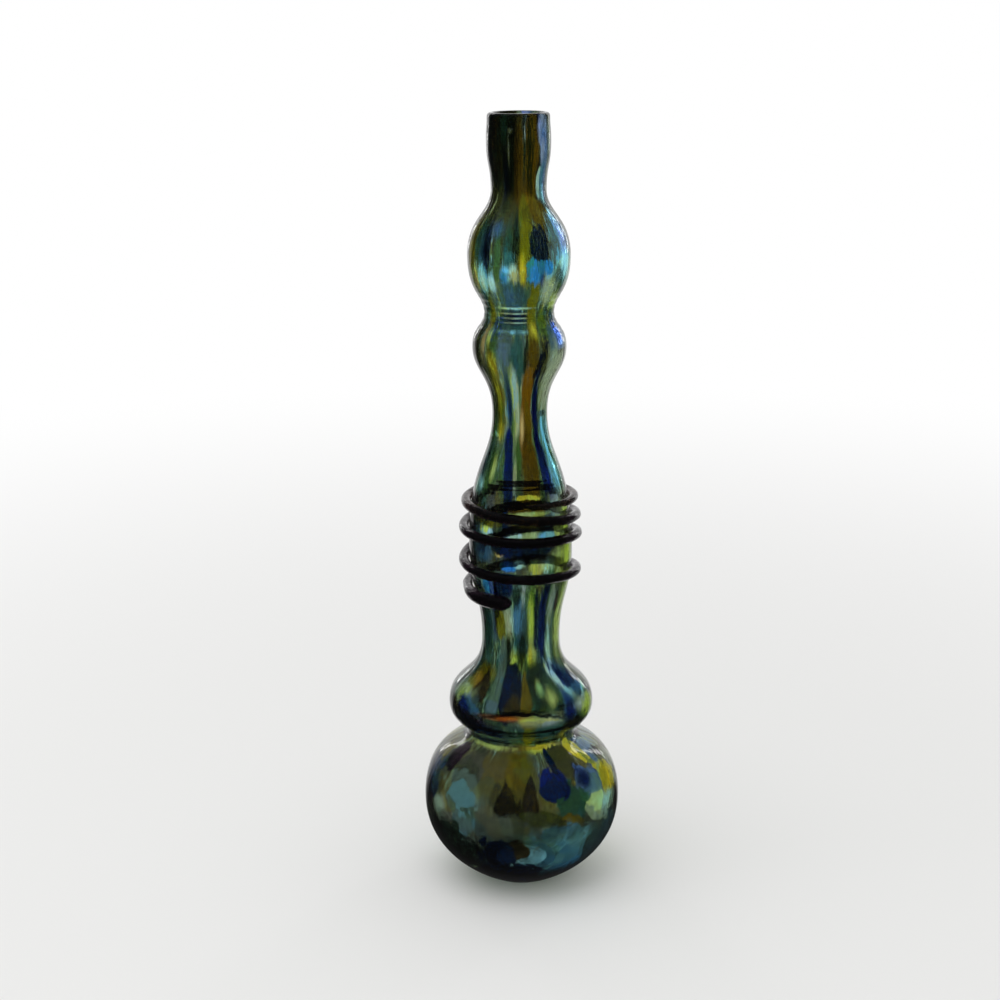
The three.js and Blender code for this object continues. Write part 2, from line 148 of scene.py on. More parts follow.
# The bits of coloured glass, from the mouth down: the glass, how far each is turned to the right
# of the front and its height, half its turn and half its height, and then how far its top leans
# to the right, how much narrower its top is than its foot, and how softly it fades at its edge
# Some bits are painted light rather than coloured glass, as marked below
BITS = (
    # Mouth
    ("bottle", -78, 382, 16, 22, 0, 0, 0.4),
    ("bottle", -45, 392, 22, 12),
    ("umber", -52, 391, 7, 8, 0, 0, 0.5),
    ("navy", -72, 379, 12, 3, 0, 0, 0.5),
    ("bottle", -42, 371, 6, 14, 10, 0, 0.5),
    ("navy", -24, 367, 7, 13, 0, 0, 0.4),
    ("spruce", -27, 394, 6, 7, 0, 0, 0.5),
    ("leaf", -14, 398, 3, 3.5, 0, 0, 0.5),
    ("bottle", -14, 382, 7, 20, 0, 0, 0.4),
    ("mist", -19, 382, 1.2, 5, 0, 0, 0.8),
    ("mist", -16, 392, 3, 0.9, 0, 0, 0.9),
    ("bronze", 0, 372, 8, 22, 0, 0, 0.35),
    ("bronze", 24, 379, 11, 24, 2),
    ("bottle", 10, 388, 1.8, 17, 0, 0, 0.4),
    ("mist", 11, 391, 0.5, 3, 0, 0, 1),
    ("navy", 38, 394, 3.4, 7),
    # Painted reflection and refraction of the sky on the right of the mouth
    ("lavender", 51, 391, 13, 9),
    ("violet", 47, 388, 6, 6, 0, 0, 0.7),
    ("lavender", 54, 378, 12, 6, 30, 0, 0.3),
    ("ice", 46, 367, 8, 6.5, 0, 0, 0.1),
    ("aqua", 53, 367, 7, 8, 0, 0, 0.5),
    ("lavender", 62, 369, 6, 8, 0, 0, 0.5),
    ("mist", 68, 386, 7, 12, 0, 0, 0.5),
    ("slate", 82, 374, 12, 16, 0, 0, 0.5),
    # Upper bulb
    ("moss", -58, 354, 24, 9, 0, 0, 0.5),
    ("moss", -17, 353, 15, 8, 0, 0, 0.5),
    ("bronze", 16, 361, 20, 5, 0, 0, 0.5),
    ("ochre", 34, 353.5, 26, 5.5, 8),
    ("ochre", 42, 347.5, 12, 5),
    ("olive", 9, 352, 8, 8, 6, 0, 0.3),
    ("olive", 4.5, 337, 5.5, 15, 4, 0, 0.3),
    ("gold", 3, 325.5, 2.6, 7, 4, 0, 0.7),
    ("mist", -54, 353, 8, 2, -50, 0, 0.7),
    ("moss", -84, 336, 12, 18, 0, 0, 0.5),
    ("olive", -68, 336, 8, 16, 0, 0, 0.3),
    ("gold", -69, 335, 4, 12, 0, 0, 0.9),
    ("spruce", -50, 339, 7, 10, 0, 0, 0.3),
    ("steel", -45, 334, 4, 9, 0, 0, 0.5),
    ("navy", -39, 337, 4, 10, 0, 0, 0.5),
    ("moss", -22, 338, 7, 12, 0, 0, 0.4),
    ("leaf", -25, 336, 3, 9, 0, 0, 0.6),
    ("steel", -27, 346, 6, 3, 0, 0, 0.9),
    ("spruce", -12, 337, 5, 11, 0, 0, 0.5),
    ("bottle", -4, 341, 4, 11, 0, 0, 0.5),
    ("smoke", 37, 339, 4, 8, 0, 0, 0.4),
    ("navy", 19.5, 338, 6, 7.5, 0, 0, 0.05),
    ("navy", 27, 339, 6, 8.5, 0, 0, 0.05),
    ("azure", 17, 325.5, 9, 6, 14, 0, 0.1),
    ("aqua", 35, 326, 7, 4, 0, 0, 0.4),
    ("azure", 26, 327.5, 12, 3.6, -4, 0, 0.1),
    ("cobalt", 27, 321, 3, 3, 0, 0, 0.7),
    ("sage", 84, 348, 12, 12, 0, 0, 0.5),
    # Painted reflection and refraction of the sky on the right of the upper bulb
    ("aqua", 54, 339, 15, 13, 0, 0, 0.2),
    ("lavender", 64, 341, 8, 10, 0, 0, 0.9),
    ("ice", 74, 327, 12, 7, 0, 0, 0.4),
    ("ice", 55, 329, 4, 3, -30, 0, 0.6),
    ("slate", 50, 322, 8, 5, -30, 0, 0.5),
    ("mist", 38, 316, 9, 6, 20, 0, 0.5),
    ("aqua", -46, 322, 7, 6.5, 0, 0, 0.2),
    ("ice", -47, 320, 4, 4, 0, 0, 1),
    ("straw", -60, 321, 5, 6, 0, 0, 0.4),
    ("blush", -60, 320, 3, 4, 0, 0, 0.8),
    ("ice", -33, 320, 4, 4, 0, 0, 0.6),
    ("leaf", -26, 326, 4, 5, 0, 0, 0.5),
    ("aqua", -15, 324, 5, 3.4, 0, 0, 0.6),
    ("azure", -18, 323, 3, 3, 0, 0, 0.7),
    ("mist", -7, 325, 4.5, 4, 0, 0, 0.5),
    ("spruce", -8, 314, 18, 6, 0, 0, 0.4),
    ("steel", -10, 313, 12, 5, 0, 0, 1),
    ("olive", 18, 311, 7, 9),
    ("mist", 54, 313, 9, 5, 0, 0, 0.5),
    ("straw", 74, 308, 16, 3.4, 0, 0, 0.4),
    # Ringed neck and middle bulb
    ("spruce", -10, 300, 20, 4),
    ("navy", -8, 302.4, 17, 3, 0, 0, 0.5),
    # Thin pale lines on the rings: painted light of the bright surroundings seen through the tool's
    # grooves
    ("ice", -8, 307.2, 19, 0.5, 0, 0, 0.9),
    ("mist", -8, 304.5, 18, 0.35, 0, 0, 0.9),
    ("mist", -8, 302.2, 17, 0.33, 0, 0, 0.9),
    ("mist", -8, 300, 17, 0.3, 0, 0, 0.9),
    ("aqua", -12, 295.7, 20, 0.8, 0, 0, 0.9),
    ("olive", 19, 298, 7, 9, 0, 0, 0.3),
    ("gold", 20, 296, 3, 3, 0, 0, 1),
    ("leaf", 37, 299, 8, 6, 0, 0, 0.4),
    ("olive", -46, 304, 5, 8, 30, 0, 0.5),
    ("steel", 49, 292, 8, 5.5, 0, 0, 0.3),
    # Painted reflection and refraction of the sky on the right of the middle bulb
    ("lavender", 77, 293, 11, 7, 0, 0, 0.5),
    ("violet", 61, 292, 9, 6, 0, 0, 0.3),
    ("plum", 61, 285.2, 8, 0.8),
    ("blush", -51, 289, 3, 7, 0, 0, 0.8),
    ("straw", -41, 293, 4, 4, 0, 0, 0.6),
    ("leaf", -34, 288, 5, 8, 0, 0, 0.3),
    ("slate", -20, 287, 9, 9, 0, 0, 0.4),
    ("spruce", -3, 282, 8, 13, 0, 0, 0.3),
    ("bottle", 8, 284, 3, 10, 8, 0, 0.4),
    ("bronze", 17, 283, 7, 10, 6, 0, 0.3),
    ("moss", 33, 280, 7, 9, 0, 0, 0.5),
    ("mist", 53, 270, 15, 16, 0, 0, 0.4),
    ("sage", 82, 272, 16, 18, 0, 0, 0.5),
    ("moss", -78, 278, 20, 22, 0, 0, 0.5),
    # Stem
    ("gold", -38, 279, 6, 5, 0, 0, 0.7),
    ("olive", -43, 262, 9, 14, 0, 0, 0.4),
    ("gold", -42, 262, 4, 9, 0, 0, 1),
    ("gold", -43, 245, 7, 4, 0, 0, 0.7),
    ("steel", -21, 262, 6, 15, 4, 0, 0.3),
    ("cobalt", -20, 258, 3, 12, 0, 0, 0.9),
    ("mist", -9, 266, 5.5, 11, -8, 0, 0.4),
    ("mist", -6, 249, 4, 11, 0, 0, 0.5),
    ("leaf", -3, 232, 5, 10, 0, 0, 0.5),
    ("mist", -8, 224, 2, 6, 0, 0, 0.7),
    ("amber", 12, 265, 9, 12, 4),
    ("amber", 12, 246, 12, 14),
    ("blush", 3.5, 247, 3, 6, 0, 0, 0.9),
    ("bronze", 15, 226, 11.5, 17),
    ("spruce", 25, 266, 3, 9, 0, 0, 0.4),
    ("cobalt", 31, 256, 4.5, 11, -8),
    ("steel", 44, 229, 8, 18, 0, 0, 0.3),
    ("cobalt", 36, 230, 5.5, 21, -4),
    ("cobalt", 45, 224, 7, 13, 0, 0, 1),
    # Painted reflection and refraction of the sky on the right of the stem
    ("aqua", 53, 243, 11, 8, 0, 0, 0.3),
    ("aqua", 56, 224, 9, 14, 0, 0, 0.4),
    ("ice", 70, 232, 10, 19, 0, 0, 0.4),
    ("slate", 50, 253, 12, 1.4),
    ("cobalt", -22, 239, 7, 6.5, 20),
    ("cobalt", -18, 224, 6, 15, -10),
    ("leaf", -47, 225, 9, 11, 0, 0, 0.4),
    ("straw", -43, 226, 4, 5, 0, 0, 0.7),
    ("moss", -74, 256, 14, 11, 0, 0, 0.5),
    ("slate", -78, 227, 16, 13, 0, 0, 0.5),
    ("ice", -82, 241.6, 13, 0.9, 3),
    ("ice", -67, 217, 8, 4, 0, 0, 0.5),
    # Under the trail
    ("smoke", -33, 210, 9, 8, 0, 0, 0.4),
    ("navy", -15, 204, 6, 11, 0, 0, 0.3),
    ("navy", 35, 201, 6, 12, 0, 0, 0.3),
    ("bronze", 9, 207, 19, 4),
    ("gold", 9, 212.6, 14, 1.6),
    ("straw", 10, 204.6, 19, 1.2, 0, 0, 0.4),
    ("gold", 11, 200.4, 16, 2, 0, 0, 0.6),
    ("mist", 64, 206, 24, 8, 0, 0, 0.5),
    ("straw", 72, 200, 22, 4, 0, 0, 0.4),
    ("steel", -60, 195, 9, 3, 0, 0, 0.4),
    ("ice", -42, 195, 7, 2, 0, 0, 0.5),
    ("ice", -5, 193.2, 9, 1.8, 0, 0, 0.4),
    ("straw", 12, 193.4, 10, 2.3, 0, 0, 0.4),
    ("aqua", 31, 193, 9, 2.2, 0, 0, 0.4),
    ("straw", 68, 190, 24, 5, 10),
    ("steel", -50, 184, 13, 5, 0, 0, 0.4),
    ("blush", -24, 184, 4.4, 1.6),
    ("navy", 2, 187, 36, 4.4),
    ("azure", -14, 178, 8, 2.4, 0, 0, 0.3),
    ("ice", -2, 179.2, 5, 2, 0, 0, 0.4),
    ("straw", 15, 177, 6, 3.6, 0, 0, 0.4),
    ("mist", 22, 177, 3, 3.4, 0, 0, 0.4),
    ("ice", 32, 177, 7, 4, 0, 0, 0.4),
    ("straw", 48, 178, 8, 7, 0, 0, 0.4),
    ("straw", 74, 178, 20, 8, 0, 0, 0.4),
    ("navy", -22, 166, 13, 6, 0, 0, 0.3),
    ("azure", -43, 166, 6, 4, 0, 0, 0.3),
    ("ice", -36, 166, 2, 4, 0, 0, 0.5),
    ("ice", -55, 167, 4, 3, 0, 0, 0.5),
    # Lower neck
    ("mist", 4, 160, 5, 10, 0, 0, 0.7),
    ("leaf", 10, 153, 7, 14, 0, 0, 0.3),
    ("bottle", -5, 160, 5, 7, 0, 0, 0.4),
    ("navy", 20, 147, 2.4, 16, -5, 0, 0.3),
    ("cobalt", 31, 148, 7, 20),
    ("straw", 13, 145, 3.4, 13, -8, 0, 0.6),
    ("steel", 0, 145, 6, 11, 0, 0, 0.4),
    ("steel", -8, 147, 3, 7, 0, 0, 0.5),
    ("bottle", 2, 132, 6, 7, 0, 0, 0.5),
    ("mist", -18, 146, 5, 8, 0, 0, 0.8),
    ("slate", -42, 144, 5, 9, 0, 0, 0.4),
    ("olive", -31, 145, 7, 8.5, 0, 0, 0.15),
    ("spruce", -58, 140, 11, 14, 0, 0, 0.4),
    ("umber", -84, 150, 10, 8, 0, 0, 0.4),
    ("bottle", -19, 127, 5, 10, 0, 0, 0.3),
    ("straw", -11, 126, 4, 5, 15, 0, 0.6),
    ("straw", 15, 127, 6, 5, -10, 0, 0.4),
    ("gold", 13, 128, 2.4, 4, -10, 0, 0.8),
    ("mist", 41, 154, 5, 12, -4, 0, 0.4),
    ("ice", 42, 131, 4, 9, -8, 0, 0.5),
    ("slate", 51, 143, 5, 14, 0, 0, 0.5),
    ("plum", 50, 156, 3, 6, -15, 0, 0.5),
    ("mist", 62, 142, 7, 18, 0, 0, 0.5),
    ("straw", 80, 145, 16, 22, 0, 0, 0.4),
    # Flattened bulb
    ("olive", -49, 117, 12, 4, 0, 0, 0.5),
    ("umber", -43, 113, 6.5, 7, -10, 0.7, 0.1),
    ("blush", -56, 114, 5, 2.4, 0, 0, 0.9),
    ("mist", -62, 106, 12, 6, 0, 0, 0.5),
    ("straw", -61, 107, 8, 4, 0, 0, 0.8),
    ("steel", -46, 102, 10, 5, 12, 0, 0.4),
    ("cobalt", -55, 101, 8, 4, 12, 0, 0.3),
    ("plum", -42, 95, 14, 4, 0, 0, 0.4),
    ("navy", -45, 89, 26, 7, 0, 0, 0.3),
    ("umber", -78, 96, 12, 6, 0, 0, 0.4),
    ("navy", -12, 112, 9.5, 12.5, 0, 0, 0.05),
    ("umber", -8, 105, 6, 5, 0, 0, 0.3),
    ("slate", -27, 124, 5.5, 12, 0, 0, 0.15),
    ("slate", -26, 109, 4.4, 9, 6, 0, 0.15),
    ("bottle", 20, 117, 12, 7, 0, 0, 0.5),
    ("leaf", 22, 108, 14, 8, 0, 0, 0.6),
    ("bottle", 17, 112, 9, 9, 0, 0, 0.8),
    ("straw", 18, 113, 2.4, 2.4, 0, 0, 1),
    ("straw", 28, 108, 4, 3, 20, 0, 1),
    ("bottle", 33, 103, 5, 5, 0, 0, 0.6),
    ("straw", 36, 119, 1.6, 5, -50, 0, 0.5),
    ("ochre", 3.5, 107, 4.2, 11),
    ("olive", 6.5, 91, 4.2, 10, 6),
    ("spruce", 23, 93, 12, 5, 0, 0, 0.4),
    ("flame", -13, 100.3, 15, 1, 0, 0, 1),
    ("gold", 5, 99, 6, 1.4, 0, 0, 0.5),
    ("mist", 17, 99, 15, 2.4, 0, 0, 0.9),
    ("steel", 43, 103, 6, 8, 0, 0, 0.3),
    ("cobalt", 42, 101, 4, 6, 0, 0, 0.8),
    # Painted reflection and refraction of the sky on the right of the flattened bulb
    ("steel", 60, 112, 15, 8, 20, 0, 0.4),
    ("ice", 44, 114, 2.6, 9, -50, 0, 0.8),
    ("ice", 68, 107, 8, 1.2, -20, 0, 0.7),
    ("mist", 62, 102, 12, 3, 0, 0, 0.5),
    ("straw", 74, 97, 13, 6, 0, 0, 0.4),
    ("moss", 47, 92, 10, 4, 0, 0, 0.4),
    # Painted highlight along the crease of the throat
    ("straw", -22, 79.7, 30, 1, 0, 0, 0.6),
    ("gold", 20, 79.7, 17, 1.6, 0, 0, 0.5),
    # Globe
    ("khaki", -11, 68, 21, 11, 0, 0, 0.2),
    ("ochre", -2, 73, 9, 8, 0, 0, 0.4),
    ("umber", -11, 60, 6, 9, -8, 0.85),
    ("umber", 4.5, 63, 4.2, 8.5, 6, 0.85),
    ("smoke", -42, 69, 10, 8),
    ("smoke", -37, 71, 4, 7, 20),
    ("plum", -61, 72, 7, 4.6),
    ("slate", -41, 57, 10, 7),
    ("slate", -37, 47, 8, 8.5),
    ("ash", -57, 49, 9, 6, 0, 0, 0.3),
    ("mist", -59, 50, 5, 4, 0, 0, 0.9),
    ("navy", -76, 60, 12, 10),
    ("steel", -75, 62, 9, 7, 0, 0, 1),
    ("plum", -86, 47, 9, 9),
    ("ash", -80, 73, 10, 4),
    ("smoke", -9, 45, 17, 8),
    ("ash", -8, 46, 9, 5, 0, 0, 0.8),
    ("moss", 11, 51, 11, 3.6, 10),
    ("spruce", 32, 57, 12, 8),
    ("ochre", 31, 47, 8, 3, 24),
    ("moss", 35, 74, 10, 6),
    ("cobalt", 21.5, 66, 9, 6.2),
    ("navy", 24, 75, 3, 4.5, -10),
    # Painted reflection and refraction of the sky on the right of the globe
    ("violet", 52, 61, 7, 6, -20, 0, 0.4),
    ("violet", 44, 66, 6.5, 5),
    ("cobalt", 43, 66, 5, 4.4, 0, 0, 0.6),
    ("straw", 63, 67, 5, 5, -30),
    ("gold", 58, 74, 10, 5, 30),
    ("mist", 64, 72, 3, 4, -20, 0, 0.5),
    ("mist", 79, 76, 13, 3.4),
    ("umber", 76, 70, 3, 4),
    ("sage", 84, 60, 10, 9, 0, 0, 0.3),
    ("gold", 69, 59, 9, 7),
    ("mist", 58, 49, 16, 6.5, 14),
    ("ice", 61, 50, 10, 4, 14, 0, 1),
    ("smoke", 78, 40, 12, 8),
    ("steel", 22, 42, 10, 4),
    ("slate", 25, 31, 21, 11),
    ("aqua", 27, 28, 20, 10, 0, 0, 1),
    ("slate", 62, 28, 20, 13),
    ("umber", -2, 34, 6, 5),
    ("navy", -16, 30, 9, 9),
    ("navy", -12, 12, 20, 12),
    ("bottle", -50, 28, 20, 14),
    ("mist", -40, 14, 6, 1.6, -18),
    # Back of the mouth
    ("moss", -150, 382, 30, 24, 0, 0, 0.4),
    ("steel", 152, 378, 8, 18),
    ("amber", -118, 384, 9, 18),
    # Back of the upper bulb
    ("amber", 125, 338, 9, 15),
    ("spruce", -125, 338, 10, 15),
    ("straw", 168, 334, 10, 12),
    ("ice", -165, 324, 9, 6),
    # Back of the middle bulb and the stem
    ("mist", 176, 256, 8, 26),
    ("cobalt", 138, 256, 7, 26),
    ("olive", 118, 240, 8, 26),
    ("olive", -128, 262, 8, 22),
    ("leaf", -112, 238, 9, 20),
    ("straw", -160, 248, 7, 20),
    ("violet", -140, 293, 12, 6),
    ("gold", 128, 298, 9, 5),
    # Back of the neck
    ("leaf", 128, 146, 9, 18),
    ("ice", -172, 142, 8, 15),
    ("cobalt", -132, 148, 8, 16),
    ("straw", 158, 140, 8, 13),
    ("mist", 130, 184, 14, 6),
    ("gold", -130, 190, 14, 5),
    # Back of the flattened bulb
    ("olive", -135, 104, 12, 10),
    ("cobalt", 135, 103, 11, 9),
    ("straw", 178, 106, 10, 9),
    ("aqua", 112, 104, 10, 7),
    # Back of the globe
    ("violet", 128, 58, 11, 9),
    ("sage", -165, 44, 15, 10),
    ("gold", -118, 62, 10, 8),
    ("sage", -138, 64, 9, 7),
    ("sage", 148, 40, 9, 7),
    ("straw", 174, 68, 12, 6),
    ("umber", 160, 76, 9, 4),
    ("ice", -134, 30, 14, 12),
    ("straw", 118, 32, 12, 9),
    ("olive", -106, 44, 9, 7),
)

# Heights between which the outside has one material, with the bits that reach into it, and then how
# far the bits' edges are broken there like a shard's, how far they are frayed, how strong the grain
# is, and how softly a bit fades that has no softness of its own
GLASS_BANDS = (
    ("globe glass", 0, 80.3, 0.45, 0.15, 0.12, 0.05),
    ("flattened bulb glass", 80.3, 122, 0.3, 0.3, 0.3, 0.12),
    ("neck glass", 122, 168, 0.2, 0.6, 0.35, 0.2),
    ("wound glass", 168, 214, 0.2, 0.6, 0.35, 0.2),
    ("stem glass", 214, 262, 0.15, 0.5, 0.3, 0.2),
    ("middle bulb glass", 262, 300, 0.2, 0.6, 0.35, 0.2),
    ("ringed neck glass", 300, 330, 0.3, 0.8, 0.4, 0.2),
    ("upper bulb glass", 330, 362, 0.2, 0.7, 0.35, 0.2),
    ("mouth glass", 362, 402, 0.15, 0.5, 0.15, 0.2),
)

# How far past its half height a bit still colours a band, and up to where the inside is clear
BIT_SPILL = 4
CLEAR_INSIDE_UP_TO = 398.6

# How far the streaks wander round the wall, in degrees, how much the bits spread as they melt in,
# how strongly the flecks and their painted glints show on them, and how much darker the wall is
# where it is seen edge on
SWAY = 2
BITS_SPREAD = 1.13
FLECKS_AND_GLINTS_ON_BITS = 0.12
EDGE_DEPTH = 0.3

# The patterns of the wall, drawn out with the glass: how many features fit the vessel's radius, how
# high each is in millimetres, and a shift that keeps the patterns apart
PATTERNS = {
    "sway": (2.0, 30.0, 0),
    "fibres": (22.0, 26.0, 7),
    "shards": (11.0, 6.0, 3),
    "run": (5.0, 40.0, 11),
    "back edge": (6.0, 34.0, 17),
    "patches": (4.0, 15.0, 21),
    "flecks and glints": (85.0, 5.0, 9),
    "fleck and glint colours": (7.0, 10.0, 13),
    "threads": (55.0, 34.0, 5),
    "swell": (7.0, 12.0, 2),
}

# Where each of these goes from nothing to all: the second glass of the flow, the back's glasses and
# how frayed their edge is, the flecks with their painted glints, their straw colour, and the dark
# of the wall seen edge on
RUN_EASE = (-0.2, 0.2)
BACK_EASE = (-0.3, 0.8)
BACK_FRAY = 0.7
FLECK_AND_GLINT_EASE = (0.12, 0.3)
FLECK_AND_GLINT_COLOUR_EASE = (-0.1, 0.1)
EDGE_EASE = (0.65, 1)

# How the glass bends light, the light that the wall and the trail let through to the floor, and how
# high their fine unevenness is, in metres
GLASS_IOR = 1.5
WALL_SHADOW = (0.5, 0.56, 0.48, 1)
TRAIL_SHADOW = (0.08, 0.05, 0.07, 1)
SWELL_HEIGHT = 0.00015
TRAIL_GRAIN_HEIGHT = 0.0002

# The trail turns brown between these heights, is this rough, and has grain this wide and high
TRAIL_THIN_EASE = (201, 211)
TRAIL_ROUGHNESS = 0.05
TRAIL_GRAIN_WIDTH = 5
TRAIL_GRAIN_RISE = 0.7

# How strongly small bright flecks show, by height: painted glints of light, with some seeds and
# scratches in the glass. The strong row at 79 mm is a painted highlight along the throat's crease
FLECKS_AND_GLINTS = (
    (0, 0),
    (60, 0.1),
    (76, 0.25),
    (79, 0.9),
    (82, 0.25),
    (97, 0.3),
    (101, 0.5),
    (112, 0.4),
    (120, 0.3),
    (128, 0.8),
    (140, 0.5),
    (168, 0.6),
    (176, 0.3),
    (214, 0.35),
    (250, 0.15),
    (272, 0.4),
    (284, 0.45),
    (298, 1),
    (310, 0.7),
    (318, 0.8),
    (332, 0.9),
    (345, 0.7),
    (356, 0.2),
    (372, 0.12),
    (392, 0.35),
    (400, 0.1),
)

# The camera of the photograph: its focal length as a share of the picture's width, its place, and
# how far it looks down and leans
CAMERA_SENSOR = 36
CAMERA_FOCAL_SHARE = 1.8
CAMERA_PLACE = (-10.3, -887.2, 451.6)
CAMERA_PITCH = 15.5
CAMERA_ROLL = -0.45

# Soft lamps that face one place: where each stands, its width and height in metres, its power in
# watts, and whether it shows in the glass
LAMPS_AIM = (0, 0, 0.2)
LAMPS = (
    ("right window", (1.1, 1.3, 0.8), (0.12, 1.4), 2, True),
    ("left window", (-0.8, 1.4, 0.8), (0.1, 1.4), 1.5, True),
    ("ceiling", (-0.6, -0.5, 2.2), (2, 2), 20, False),
)

# The floor: its radius and sides, from where to where it fades into white, and its roughness
FLOOR_RADIUS = 8
FLOOR_SIDES = 96
FLOOR_FADE = (0.25, 1.3)
FLOOR_ROUGHNESS = 0.7

# How squarely behind the vase the white backdrop stands that the glass reflects at its edges, from
# where it is full to where it ends, as the cosine of the angle from straight behind
BACKDROP_EDGE = (0.9, 0.6)

# The dim room that the glass reflects elsewhere, from the horizon to straight up, and its floor
ROOM_SHADES = (
    (0, (0.025, 0.025, 0.028)),
    (0.5, (0.045, 0.047, 0.05)),
    (1, (0.1, 0.105, 0.115)),
)
ROOM_FLOOR = (0.03, 0.03, 0.03)


def length(name, description, millimetres):
    return FloatProperty(
        name=name,
        description=description,
        default=millimetres * MM,
        unit="LENGTH",
        subtype="DISTANCE",
    )


def colour(name, description, shade):
    return FloatVectorProperty(
        name=name, description=description, default=shade, size=3, min=0, max=1, subtype="COLOR"
    )


class VesselShape(bpy.types.PropertyGroup):
    """Radii of the vessel and thickness of its wall"""

    base: length("Base", "Radius of the ring that the vase stands on", 20)
    hollow: length("Hollow", "Radius of the shallow hollow under the base", 14)
    globe: length("Globe", "Radius of the globe at its widest", 51.8)
    throat: length("Throat", "Radius of the crease above the globe", 28.4)
    flat_bulb: length("Flattened bulb", "Radius of the bulb above the globe", 38.1)
    lower_neck: length("Lower neck", "Radius of the neck under the trail", 20.6)
    wound_swell: length("Wound swell", "Radius of the stem under the trail", 27)
    waist: length("Waist", "Radius of the stem at its thinnest", 14.3)
    middle_bulb: length("Middle bulb", "Radius of the bulb above the waist", 24)
    ringed_neck: length("Ringed neck", "Radius of the neck with the fine rings", 17.9)
    upper_bulb: length("Upper bulb", "Radius of the bulb under the mouth", 26)
    mouth_neck: length("Mouth neck", "Radius of the neck under the mouth", 14.1)
    mouth_swell: length("Mouth swell", "Radius of the mouth at its widest", 16.3)
    lip: length("Lip", "Radius of the lip", 15.8)
    wall: length("Wall", "Thickness of the glass", 3.7)
    floor: length("Floor", "Thickness of the glass over the base", 6.5)


class TrailShape(bpy.types.PropertyGroup):
    """Thickness of the trail wound round the stem"""

    radius: length("Radius", "Half thickness of the trail", 2.6)
    tip: length("Tip", "Half thickness of its thin tail", 0.9)
    pad: length("Pad", "Half thickness of the pad at its foot", 3.9)


class GlassColours(bpy.types.PropertyGroup):
    """Colours of the glasses, as light that has gone through the wall once shows them"""

    sage: colour("Sage", "Pale grey-green of the back", (0.5, 0.55, 0.45))
    mist: colour("Mist", "Milky grey-green", (0.5, 0.58, 0.45))
    ice: colour("Ice", "Palest blue-green", (0.62, 0.98, 1))
    straw: colour("Straw", "Pale yellow-green", (0.54, 0.66, 0.22))
    khaki: colour("Khaki", "Dull brown of the globe", (0.14, 0.12, 0.045))
    ash: colour("Ash", "Grey of the globe", (0.17, 0.175, 0.13))
    smoke: colour("Smoke", "Dark grey", (0.1, 0.105, 0.085))
    slate: colour("Slate", "Grey-blue", (0.11, 0.18, 0.195))
    steel: colour("Steel", "Dusty blue", (0.06, 0.14, 0.24))
    moss: colour("Moss", "Grey-green", (0.07, 0.075, 0.025))
    leaf: colour("Leaf", "Leaf green", (0.075, 0.155, 0.05))
    bottle: colour("Bottle", "Darkest green", (0.014, 0.028, 0.016))
    spruce: colour("Spruce", "Blue-green", (0.035, 0.11, 0.105))
    aqua: colour("Aqua", "Pale blue", (0.25, 0.6, 0.82))
    azure: colour("Azure", "Bright blue", (0.04, 0.3, 0.75))
    cobalt: colour("Cobalt", "Deep blue", (0.004, 0.016, 0.14))
    navy: colour("Navy", "Darkest blue", (0.003, 0.012, 0.045))
    violet: colour("Violet", "Violet-blue", (0.12, 0.23, 0.62))
    lavender: colour("Lavender", "Palest violet", (0.48, 0.58, 1))
    plum: colour("Plum", "Dark purple", (0.03, 0.015, 0.03))
    umber: colour("Umber", "Dark brown", (0.035, 0.026, 0.01))
    ochre: colour("Ochre", "Dull yellow-brown", (0.18, 0.13, 0.012))
    bronze: colour("Bronze", "Warm brown", (0.1, 0.06, 0.003))
    amber: colour("Amber", "Orange-brown", (0.2, 0.09, 0.0025))
    gold: colour("Gold", "Bright yellow", (0.75, 0.66, 0.07))
    olive: colour("Olive", "Dark yellow-green", (0.19, 0.175, 0.008))
    flame: colour("Flame", "Orange-red", (0.5, 0.12, 0.02))
    blush: colour("Blush", "Palest orange", (0.85, 0.6, 0.3))
    amethyst: colour("Amethyst", "The trail", (0.012, 0.006, 0.011))
    sepia: colour("Sepia", "The trail's thin tail", (0.05, 0.03, 0.024))


class StageLight(bpy.types.PropertyGroup):
    """Floor, lamps and surroundings"""

    floor: colour("Floor", "Colour of the floor near the vase", (0.8, 0.8, 0.79))
    lamps: FloatProperty(
        name="Lamps", description="Share of the lamps' power", default=1, min=0, subtype="FACTOR"
    )
    sky: FloatProperty(
        name="Surroundings", description="Strength of their light", default=0.75, min=0
    )


class Wire:
    """A socket of a material, with Python's operators for its maths"""

    def __init__(self, finish, socket):
        self.finish = finish
        self.socket = socket

    def __add__(self, other):
        return self.finish.maths("ADD", self, other)

    def __sub__(self, other):
        return self.finish.maths("SUBTRACT", self, other)

    def __rsub__(self, other):
        return self.finish.maths("SUBTRACT", other, self)

    def __mul__(self, other):
        return self.finish.maths("MULTIPLY", self, other)

    def __truediv__(self, other):
        return self.finish.maths("DIVIDE", self, other)

    def __rtruediv__(self, other):
        return self.finish.maths("DIVIDE", other, self)

    __radd__ = __add__
    __rmul__ = __mul__


